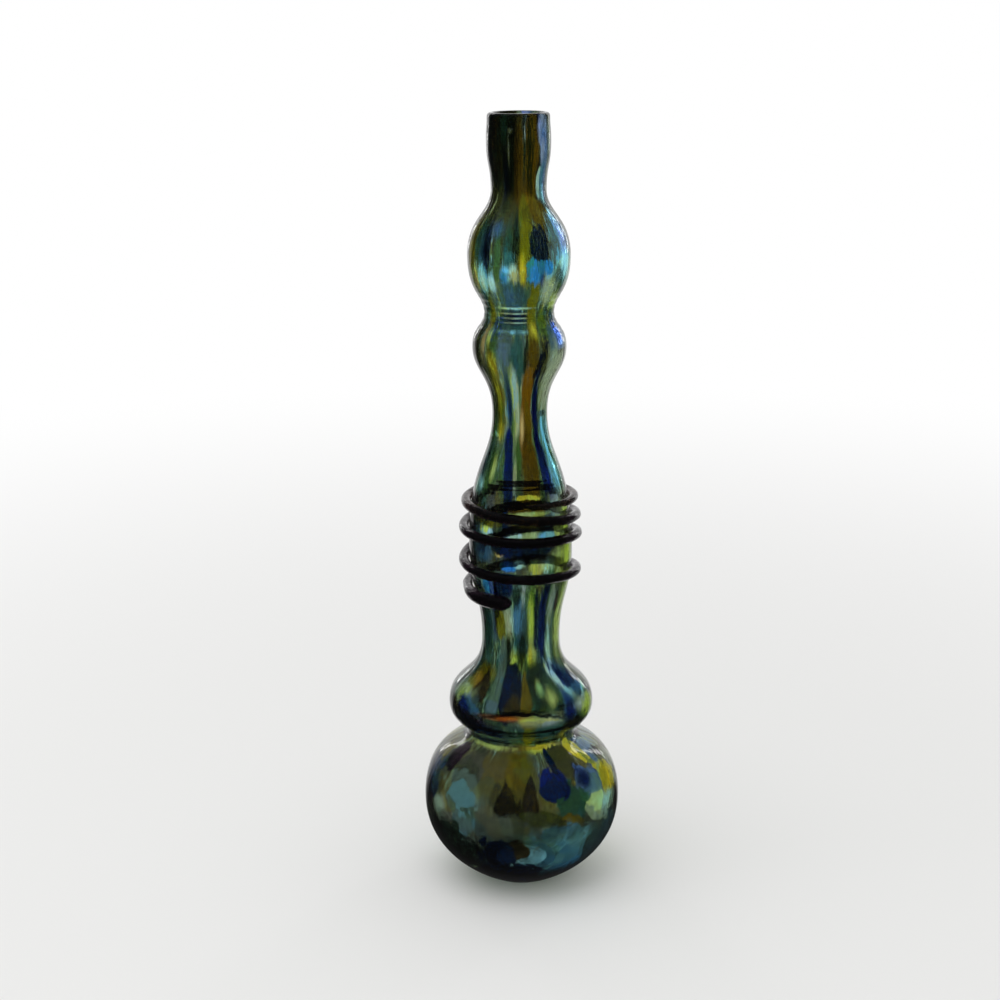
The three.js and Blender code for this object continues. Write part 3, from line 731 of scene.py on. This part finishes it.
class Finish:
    """A node tree that is being put together"""

    def __init__(self, tree):
        self.tree = tree
        self.tree.nodes.clear()

    def node(self, kind, settings=None, **inputs):
        """A node of this type, its settings made first and then its inputs, by name or place"""
        made = self.tree.nodes.new("ShaderNode" + kind)
        for key, value in (settings or {}).items():
            if key == "stops":
                self.set_stops(made.color_ramp, value)
            else:
                setattr(made, key, value)
        for key, value in inputs.items():
            place = int(key[1:]) if key[0] == "i" and key[1:].isdigit() else key.replace("_", " ")
            self.feed(made.inputs[place], value)
        return made

    def set_stops(self, ramp, stops):
        first, last = ramp.elements
        for element, (place, shade) in ((first, stops[0]), (last, stops[-1])):
            element.position = place
            element.color = (*shade, 1)
        for place, shade in stops[1:-1]:
            ramp.elements.new(place).color = (*shade, 1)

    def feed(self, socket, value):
        if isinstance(value, Wire):
            self.tree.links.new(value.socket, socket)
        else:
            socket.default_value = value

    def wire(self, node, output=0):
        return Wire(self, node.outputs[output])

    def maths(self, operation, *values):
        inputs = {f"i{place}": value for place, value in enumerate(values)}
        return self.wire(self.node("Math", {"operation": operation}, **inputs))

    def ease(self, value, low, high):
        """0 at low and 1 at high, eased in between"""
        settings = {"interpolation_type": "SMOOTHSTEP"}
        inputs = {"i0": value, "i1": low, "i2": high}
        return self.wire(self.node("MapRange", settings, **inputs))

    def blend(self, share, first, second):
        """The second colour over the first, by a share of 0 to 1"""
        inputs = {"i0": share, "i6": first, "i7": second}
        return self.wire(self.node("Mix", {"data_type": "RGBA"}, **inputs), 2)

    def ramp(self, value, stops):
        return self.wire(self.node("ValToRGB", {"stops": stops}, Fac=value))

    def split(self, vector):
        parts = self.node("SeparateXYZ", i0=vector)
        return [self.wire(parts, axis) for axis in range(3)]

    def vector(self, x, y, z):
        return self.wire(self.node("CombineXYZ", X=x, Y=y, Z=z))

    def arrows(self, operation, *values, output="Vector", **inputs):
        inputs |= {f"i{place}": value for place, value in enumerate(values)}
        return self.wire(self.node("VectorMath", {"operation": operation}, **inputs), output)

    def noise(self, vector, detail=2.0):
        """Smooth noise from about -1 to 1 with features about one unit of the vector in size"""
        made = self.node("TexNoise", Vector=vector, Scale=1.0, Detail=detail)
        return self.wire(made) * 2 - 1


def bezier(start, leaving, arriving, end, share):
    rest = 1 - share
    return (
        rest**3 * start
        + 3 * rest**2 * share * leaving
        + 3 * rest * share**2 * arriving
        + share**3 * end
    )


def outside_curves(shape):
    """The outline's curves from the base up, as four points each, in millimetres"""
    curves = []
    low = Vector((shape.base / MM, 0))
    leaving = low + Vector((BASE_OUTWARD, BASE_UPWARD))
    for place, (name, rise, below, above) in enumerate(STATIONS):
        radius = getattr(shape, name) / MM
        high = Vector((radius, low.y + rise))
        arriving = high - Vector((0, below * rise))
        curves.append((low, leaving, arriving, high))
        low = high
        if place + 1 < len(STATIONS):
            leaving = high + Vector((0, above * STATIONS[place + 1][1]))
    return curves


def outline_rows(curves, step_at):
    """Points of the outline and the way inwards at each, as far apart as step_at says"""
    rows = []
    for curve in curves:
        share = 0
        while share < 1:
            point = bezier(*curve, share)
            ahead = bezier(*curve, share + NUDGE) - point
            rows.append((point, Vector((-ahead.y, ahead.x)).normalized()))
            stride = step_at(point.y) * NUDGE / ahead.length
            share = share + stride if share + LAST_STEP * stride < 1 else 1
    rows.append((curves[-1][-1], Vector((-1, 0))))
    return rows


def ring_at(height):
    """The tool's rings at a height: how close they are, and how deep they are cut there"""
    for low, high, pitch, depth in TOOL_RINGS:
        if low < height < high:
            fade = math.sin(math.pi * (height - low) / (high - low))
            cut = 0.5 - 0.5 * math.cos(2 * math.pi * (height - low) / pitch)
            return RING_STEP, depth * fade * cut
    return OUTSIDE_STEP, 0


def vessel_section(shape):
    """The whole wall's outline: under the base, up the outside, over the lip, down the inside"""
    wall = shape.wall / MM
    hollow = shape.hollow / MM
    floor = shape.floor / MM
    curves = outside_curves(shape)
    section = []
    for row in range(HOLLOW_ROWS + 1):
        share = row / HOLLOW_ROWS
        section.append(Vector((hollow * share, HOLLOW_DEPTH * (1 - share * share))))
    for point, inward in outline_rows(curves, lambda height: ring_at(height)[0]):
        section.append(point + inward * ring_at(point.y)[1])
    lip = section[-1]
    for row in range(1, LIP_ROWS):
        angle = math.pi * row / LIP_ROWS
        section.append(lip + Vector((math.cos(angle) - 1, math.sin(angle))) * wall / 2)
    inside_rows = outline_rows(curves, lambda height: INSIDE_STEP)
    inside = [point + inward * wall for point, inward in inside_rows]
    section += [point for point in reversed(inside) if point.y > floor + FLOOR_DISH]
    edge = section[-1]
    for row in reversed(range(FLOOR_ROWS)):
        share = row / FLOOR_ROWS
        section.append(Vector((edge.x * share, floor + (edge.y - floor) * share**FLOOR_CURVE)))
    return section


def ripple_at(place):
    """How far the blown wall lies inside the true round at a place"""
    out = Vector((place.x, place.y, 0))
    if out.length < HOLLOW_DEPTH * MM:
        return Vector()
    out.normalize()
    inwards = 0
    for across, up, depth in RIPPLES:
        spot = Vector((out.x * across / 2, out.y * across / 2, place.z / MM / up))
        inwards += depth * (0.5 + 0.5 * noise.noise(spot))
    return out * -inwards * MM * min(1, place.z / MM / BASE_UPWARD)


def trail_height(share):
    """Height of the trail at a share of its marks, on a smooth curve through them"""
    marks = [TRAIL_FIRST_HEIGHT]
    for drop in TRAIL_DROPS:
        marks.append(marks[-1] - drop)
    along = min(share, 1) * len(TRAIL_DROPS)
    place = min(int(along), len(TRAIL_DROPS) - 1)
    before, low, high, after = (
        marks[max(0, min(len(TRAIL_DROPS), place + step))] for step in (-1, 0, 1, 2)
    )
    t = along - place
    return low + t * (
        (high - before) / 2
        + t * (before - 2.5 * low + 2 * high - after / 2)
        + t * t * (1.5 * (low - high) + (after - before) / 2)
    )


def trail_rings(trail, shape):
    """The trail's rings from tail to pad, as turns from its first mark and half thicknesses"""
    radius, tip, pad = (length / MM for length in (trail.radius, trail.tip, trail.pad))
    pad_turn = math.degrees(pad / (shape.wound_swell / MM))
    first = TRAIL_TAIL_TURN
    last = 180 * len(TRAIL_DROPS) - TRAIL_PAD_TURN - pad_turn
    count = round((last - first) * TRAIL_STEPS_A_TURN / 360)
    rings = []
    for row in range(count + 1):
        turn = first + (last - first) * row / count
        thick = tip + (radius - tip) * min(1, (turn - first) / TRAIL_THINS_OVER)
        swelling = max(0, 1 - (last - turn) / TRAIL_THICKENS_OVER)
        rings.append((turn, thick + (pad - radius) * math.sin(swelling * math.pi / 2)))
    for row in range(1, TRAIL_END_ROWS):
        angle = math.pi / 2 * row / TRAIL_END_ROWS
        rings.append((last + pad_turn * math.sin(angle), pad * math.cos(angle)))
    return rings


def trail_frames(trail, shape):
    """A matrix for each ring, which takes a unit circle to the ring's place, size and facing"""
    rows = outline_rows(outside_curves(shape), lambda height: OUTSIDE_STEP)
    middles = []
    for turn, thick in trail_rings(trail, shape):
        height = trail_height(turn / (180 * len(TRAIL_DROPS)))
        point, inward = next(row for row in rows if row[0].y >= height)
        radius, height = point.x - inward.x * thick * (1 - TRAIL_SUNK), height - inward.y * thick
        angle = math.radians(turn - 90)
        out = Vector((math.sin(angle), -math.cos(angle), 0))
        middles.append((out * radius + Vector((0, 0, height)), out, thick))
    frames = []
    for place, (middle, out, thick) in enumerate(middles):
        ahead = middles[min(place + 1, len(middles) - 1)][0] - middles[max(place - 1, 0)][0]
        ahead.normalize()
        side = ahead.cross(out).normalized()
        out = side.cross(ahead)
        turned = Matrix((out * thick, side * thick, ahead)).transposed().to_4x4()
        frames.append(Matrix.Scale(MM, 4) @ Matrix.Translation(middle) @ turned)
    return frames


def piece_from(name, bm):
    mesh = bpy.data.meshes.new(name)
    bm.to_mesh(mesh)
    bm.free()
    mesh.shade_smooth()
    piece = bpy.data.objects.new(name, mesh)
    bpy.context.scene.collection.objects.link(piece)
    return piece


def new_finish(name):
    material = bpy.data.materials.new(name)
    material.use_nodes = True
    return material, Finish(material.node_tree)


def finish_glass(finish, shadow, **inputs):
    """Glass that lets the lamps' light through to what it stands on"""
    glass = finish.node("BsdfPrincipled", IOR=GLASS_IOR, Transmission_Weight=1.0, **inputs)
    clear = finish.node("BsdfTransparent", Color=shadow)
    path = finish.wire(finish.node("LightPath"), "Is Shadow Ray")
    mixed = finish.node("MixShader", i0=path, i1=finish.wire(glass), i2=finish.wire(clear))
    finish.node("OutputMaterial", Surface=finish.wire(mixed))


def clear_glass():
    """Inside of the wall, where the gather under the colours is clear"""
    material, finish = new_finish("clear inside glass")
    finish_glass(finish, (1, 1, 1, 1), Base_Color=(1, 1, 1, 1), Roughness=0.0)
    return material


def streaked_glass(name, low, high, broken, frayed, grain, fade, colours):
    """Outside of the wall between two heights: a flow of glasses with the coloured bits in it"""
    material, finish = new_finish(name)

    def shade(glass):
        return (*getattr(colours, glass), 1)

    x, y, height = finish.split(finish.wire(finish.node("TexCoord"), "Object"))
    radius = finish.maths("SQRT", x * x + y * y)
    round_x, round_y = x / radius, y / radius
    height = height / MM

    def drawn(pattern):
        """A place in one of the patterns"""
        across, up, offset = PATTERNS[pattern]
        return finish.vector(round_x * across, round_y * across + offset, height / up)

    def centred(kind, place, share, **inputs):
        """The pattern's own colours, spread round nought, as a shift of a place"""
        pattern = finish.wire(finish.node(kind, Vector=place, Scale=1.0, **inputs), "Color")
        spread = finish.arrows("SUBTRACT", pattern, (0.5, 0.5, 0.5))
        return finish.arrows("MULTIPLY", spread, (share, share, 0))

    sway = finish.noise(drawn("sway")) * SWAY
    sides = []
    for facing in (1, -1):
        turn = finish.maths("ARCTAN2", x * facing, y * -facing) * (180 / math.pi)
        sides.append(finish.vector(turn + sway, height, 0.0))
    fibres = centred("TexNoise", drawn("fibres"), frayed, Detail=3.0)
    shards = centred("TexVoronoi", drawn("shards"), broken)
    ragged = finish.arrows("ADD", fibres, shards)

    level = height / FLOW[-1][0]
    flows = []
    for glass in range(1, 5):
        stops = [(stop[0] / FLOW[-1][0], getattr(colours, stop[glass])) for stop in FLOW]
        flows.append(finish.ramp(level, stops))
    run = finish.ease(finish.noise(drawn("run"), 3.0), *RUN_EASE)
    behind = finish.ease(round_y + finish.noise(drawn("back edge"), 3.0) * BACK_FRAY, *BACK_EASE)
    front, back = (finish.blend(run, first, second) for first, second in (flows[:2], flows[2:]))
    place = finish.arrows("ADD", drawn("patches"), fibres)
    patches = finish.wire(finish.node("TexVoronoi", Vector=place, Scale=1.0), "Color")
    chance, _, _ = finish.split(patches)
    scatter = []
    for step, glass in enumerate(SCATTER):
        scatter.append((step / (len(SCATTER) - 1), getattr(colours, glass)))
    back = finish.blend(SCATTER_SHARE, back, finish.ramp(chance, scatter))
    tint = finish.blend(behind, front, back)

    # Small bright flecks in ice and straw: painted glints of light, with some seeds in the glass
    fleck_and_glint_stops = [(up / FLECKS_AND_GLINTS[-1][0], (share, share, share)) for up, share in FLECKS_AND_GLINTS]
    fleck_and_glint = finish.ease(finish.noise(drawn("flecks and glints"), 2.0), *FLECK_AND_GLINT_EASE)
    fleck_and_glint = fleck_and_glint * finish.ramp(level, fleck_and_glint_stops)
    yellower = finish.ease(finish.noise(drawn("fleck and glint colours")), *FLECK_AND_GLINT_COLOUR_EASE)
    pale = finish.blend(yellower, shade("ice"), shade("straw"))
    tint = finish.blend(fleck_and_glint, tint, pale)
    for glass, at, up, half_turn, half_height, *more in BITS:
        if up + half_height + BIT_SPILL < low or up - half_height - BIT_SPILL > high:
            continue
        tilt, taper, soft = (*more, *(0, 0, fade)[len(more) :])
        on_back = abs(at) > 90
        spot = finish.node(
            "Mapping",
            {"vector_type": "TEXTURE"},
            Vector=sides[on_back],
            Location=(at - math.copysign(180, at) if on_back else at, up, 0),
            Rotation=(0, 0, -math.radians(tilt)),
            Scale=(half_turn * BITS_SPREAD, half_height * BITS_SPREAD, 1),
        )
        spot = finish.wire(spot)
        if taper:
            across, along, _ = finish.split(spot)
            spot = finish.vector(across / (1 - along * taper), along, 0.0)
        reach = finish.arrows("DISTANCE", spot, ragged, output="Value")
        tint = finish.blend(finish.ease(reach, 1 + soft, 1 - soft), tint, shade(glass))

    # The flecks' painted glints show faintly over the bits too
    tint = finish.blend(fleck_and_glint * FLECKS_AND_GLINTS_ON_BITS, tint, pale)
    threads = finish.noise(drawn("threads"), 3.0)
    edge = finish.ease(finish.wire(finish.node("LayerWeight"), "Facing"), *EDGE_EASE)
    tint = finish.arrows("SCALE", tint, Scale=(1 + threads * grain) * (1 - edge * EDGE_DEPTH))
    tint = finish.arrows("MULTIPLY", tint, tint)
    swell = finish.noise(drawn("swell"))
    bump = finish.wire(finish.node("Bump", Strength=1.0, Distance=SWELL_HEIGHT, Height=swell))
    finish_glass(finish, WALL_SHADOW, Base_Color=tint, Normal=bump, Roughness=0.0)
    return material


def trail_glass(colours):
    """Almost black glass, brown where the trail is thin"""
    material, finish = new_finish("trail glass")
    place = finish.wire(finish.node("TexCoord"), "Object")
    x, y, height = (axis / MM for axis in finish.split(place))
    thin = finish.ease(height, *TRAIL_THIN_EASE)
    tint = finish.blend(thin, (*colours.amethyst, 1), (*colours.sepia, 1))
    spot = finish.vector(x / TRAIL_GRAIN_WIDTH, y / TRAIL_GRAIN_WIDTH, height / TRAIL_GRAIN_RISE)
    grain = finish.noise(spot, 3.0)
    bump = finish.wire(finish.node("Bump", Strength=1.0, Distance=TRAIL_GRAIN_HEIGHT, Height=grain))
    finish_glass(finish, TRAIL_SHADOW, Base_Color=tint, Normal=bump, Roughness=TRAIL_ROUGHNESS)
    return material


class VASE_OT_blow_vessel(bpy.types.Operator):
    """Blow the hollow vessel with its coloured bits"""

    bl_idname = "vase.blow_vessel"
    bl_label = "Blow the vessel"

    def execute(self, context):
        bm = bmesh.new()
        section = vessel_section(context.scene.vase_vessel)
        verts = [bm.verts.new((point.x * MM, 0, point.y * MM)) for point in section]
        edges = [bm.edges.new(pair) for pair in zip(verts, verts[1:])]
        bmesh.ops.spin(
            bm,
            geom=verts + edges,
            cent=(0, 0, 0),
            axis=(0, 0, 1),
            angle=2 * math.pi,
            steps=VESSEL_SIDES,
            use_merge=True,
        )
        bmesh.ops.remove_doubles(bm, verts=bm.verts, dist=MERGE_WITHIN * MM)
        bmesh.ops.recalc_face_normals(bm, faces=bm.faces)
        for vert in bm.verts:
            vert.co += ripple_at(vert.co)
        bm.normal_update()
        for face in bm.faces:
            middle = face.calc_center_median()
            inwards = face.normal.dot(Vector((middle.x, middle.y, 0))) < 0
            inside = inwards and middle.z / MM < CLEAR_INSIDE_UP_TO
            band = next(i for i, band in enumerate(GLASS_BANDS) if middle.z / MM < band[2])
            face.material_index = len(GLASS_BANDS) if inside else band
        vessel = piece_from("blown_vessel", bm)
        for band in GLASS_BANDS:
            vessel.data.materials.append(streaked_glass(*band, context.scene.vase_colours))
        vessel.data.materials.append(clear_glass())
        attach(vessel, "root")
        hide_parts(*[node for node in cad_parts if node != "trail_wrap"])
        return {"FINISHED"}


class VASE_OT_wind_trail(bpy.types.Operator):
    """Wind the dark trail round the stem"""

    bl_idname = "vase.wind_trail"
    bl_label = "Wind the trail"

    def execute(self, context):
        frames = trail_frames(context.scene.vase_trail, context.scene.vase_vessel)
        bm = bmesh.new()
        verts = bmesh.ops.create_circle(bm, cap_ends=True, radius=1, segments=TRAIL_SIDES)["verts"]
        bmesh.ops.transform(bm, matrix=frames[0], verts=verts)
        edges = list(bm.edges)
        for before, after in zip(frames, frames[1:]):
            made = bmesh.ops.extrude_edge_only(bm, edges=edges)["geom"]
            verts = [item for item in made if isinstance(item, bmesh.types.BMVert)]
            sides = [item for item in made if isinstance(item, bmesh.types.BMEdge)]
            edges = [side for side in sides if set(side.verts) <= set(verts)]
            bmesh.ops.transform(bm, matrix=after @ before.inverted(), verts=verts)
        bmesh.ops.contextual_create(bm, geom=edges)
        bmesh.ops.recalc_face_normals(bm, faces=bm.faces)
        trail = piece_from("wound_trail", bm)
        trail.data.materials.append(trail_glass(context.scene.vase_colours))
        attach(trail, "root")
        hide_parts("trail_wrap")
        return {"FINISHED"}


def sight(finish, place):
    """Masks of the rays that see the white background, and of the reflections that see the dim room

    Reflections see the background too where it lies behind the vase.
    """
    path = finish.node("LightPath")
    glossy = finish.wire(path, "Is Glossy Ray")
    through = finish.wire(path, "Is Transmission Ray")
    straight = finish.maths("MAXIMUM", finish.wire(path, "Is Camera Ray"), through)
    _, back, _ = finish.split(place)
    away = finish.arrows("LENGTH", place, output="Value")
    room = glossy * (1 - straight) * finish.ease(back / away, *BACKDROP_EDGE)
    return finish.maths("MAXIMUM", straight, glossy), room


def floor_finish(shade):
    """Pale floor that fades into the white backdrop away from the vase"""
    material, finish = new_finish("floor")
    place = finish.wire(finish.node("TexCoord"), "Object")
    away = finish.arrows("LENGTH", place, output="Value")
    seen, room = sight(finish, place)
    paint = finish.node("BsdfPrincipled", Base_Color=(*shade, 1), Roughness=FLOOR_ROUGHNESS)
    glow = finish.node("Emission", Color=(1, 1, 1, 1), Strength=1.0)
    dim = finish.node("Emission", Color=(*ROOM_FLOOR, 1), Strength=1.0)
    fade = finish.ease(away, *FLOOR_FADE) * seen
    pale = finish.node("MixShader", i0=fade, i1=finish.wire(paint), i2=finish.wire(glow))
    mixed = finish.node("MixShader", i0=room, i1=finish.wire(pale), i2=finish.wire(dim))
    finish.node("OutputMaterial", Surface=finish.wire(mixed))
    return material


def light_world(world, strength):
    """White to look at and as light, and a dim room before the vase in reflections"""
    world.use_nodes = True
    finish = Finish(world.node_tree)
    way = finish.wire(finish.node("TexCoord"), "Generated")
    _, _, up = finish.split(way)
    seen, room = sight(finish, way)
    glow = seen * (1 - strength) + strength
    white = finish.node("Background", Color=(1, 1, 1, 1), Strength=glow)
    dim = finish.node("Background", Color=finish.ramp(up, ROOM_SHADES), Strength=1.0)
    mixed = finish.node("MixShader", i0=room, i1=finish.wire(white), i2=finish.wire(dim))
    finish.node("OutputWorld", Surface=finish.wire(mixed))


class VASE_OT_set_stage(bpy.types.Operator):
    """Set the floor, the lamps and the camera"""

    bl_idname = "vase.set_stage"
    bl_label = "Set the stage"

    def execute(self, context):
        scene = context.scene
        stage = scene.vase_stage
        bm = bmesh.new()
        bmesh.ops.create_circle(bm, cap_ends=True, radius=FLOOR_RADIUS, segments=FLOOR_SIDES)
        floor = piece_from("floor", bm)
        floor.data.materials.append(floor_finish(stage.floor))
        scene.world = bpy.data.worlds.new("studio")
        light_world(scene.world, stage.sky)
        for name, place, size, power, shows in LAMPS:
            lamp = bpy.data.lights.new(name, "AREA")
            lamp.shape = "RECTANGLE"
            lamp.size, lamp.size_y = size
            lamp.energy = power * stage.lamps
            light = bpy.data.objects.new(name, lamp)
            light.location = place
            light.visible_glossy = shows
            aim = Vector(LAMPS_AIM) - light.location
            light.rotation_euler = aim.to_track_quat("-Z", "Y").to_euler()
            scene.collection.objects.link(light)
        data = bpy.data.cameras.new("camera")
        data.sensor_width = CAMERA_SENSOR
        data.lens = CAMERA_SENSOR * CAMERA_FOCAL_SHARE
        camera = bpy.data.objects.new("camera", data)
        look = Matrix.Rotation(math.radians(90 - CAMERA_PITCH), 4, "X")
        roll = Matrix.Rotation(math.radians(CAMERA_ROLL), 4, "Z")
        camera.matrix_world = Matrix.Translation(Vector(CAMERA_PLACE) * MM) @ look @ roll
        scene.collection.objects.link(camera)
        scene.camera = camera
        scene.view_settings.view_transform = "Standard"
        return {"FINISHED"}


class VASE_PT_tools(bpy.types.Panel):
    """The vase's sizes and colours, and the steps that make it"""

    bl_idname = "VASE_PT_tools"
    bl_label = "Blown Glass Vase"
    bl_space_type = "VIEW_3D"
    bl_region_type = "UI"
    bl_category = "Vase"

    def draw(self, context):
        scene = context.scene
        for operator, group in (
            (VASE_OT_blow_vessel, scene.vase_vessel),
            (VASE_OT_wind_trail, scene.vase_trail),
            (VASE_OT_set_stage, scene.vase_stage),
        ):
            self.layout.operator(operator.bl_idname)
            for key in group.__annotations__:
                self.layout.prop(group, key)
        for key in scene.vase_colours.__annotations__:
            self.layout.prop(scene.vase_colours, key)


CLASSES = (
    VesselShape,
    TrailShape,
    GlassColours,
    StageLight,
    VASE_OT_blow_vessel,
    VASE_OT_wind_trail,
    VASE_OT_set_stage,
    VASE_PT_tools,
)


def register():
    for one in CLASSES:
        bpy.utils.register_class(one)
    bpy.types.Scene.vase_vessel = PointerProperty(type=VesselShape)
    bpy.types.Scene.vase_trail = PointerProperty(type=TrailShape)
    bpy.types.Scene.vase_colours = PointerProperty(type=GlassColours)
    bpy.types.Scene.vase_stage = PointerProperty(type=StageLight)


def unregister():
    del bpy.types.Scene.vase_stage
    del bpy.types.Scene.vase_colours
    del bpy.types.Scene.vase_trail
    del bpy.types.Scene.vase_vessel
    for one in reversed(CLASSES):
        bpy.utils.unregister_class(one)


def main():
    register()
    bpy.ops.vase.blow_vessel()
    bpy.ops.vase.wind_trail()
    bpy.ops.vase.set_stage()


if __name__ == "__main__":
    main()
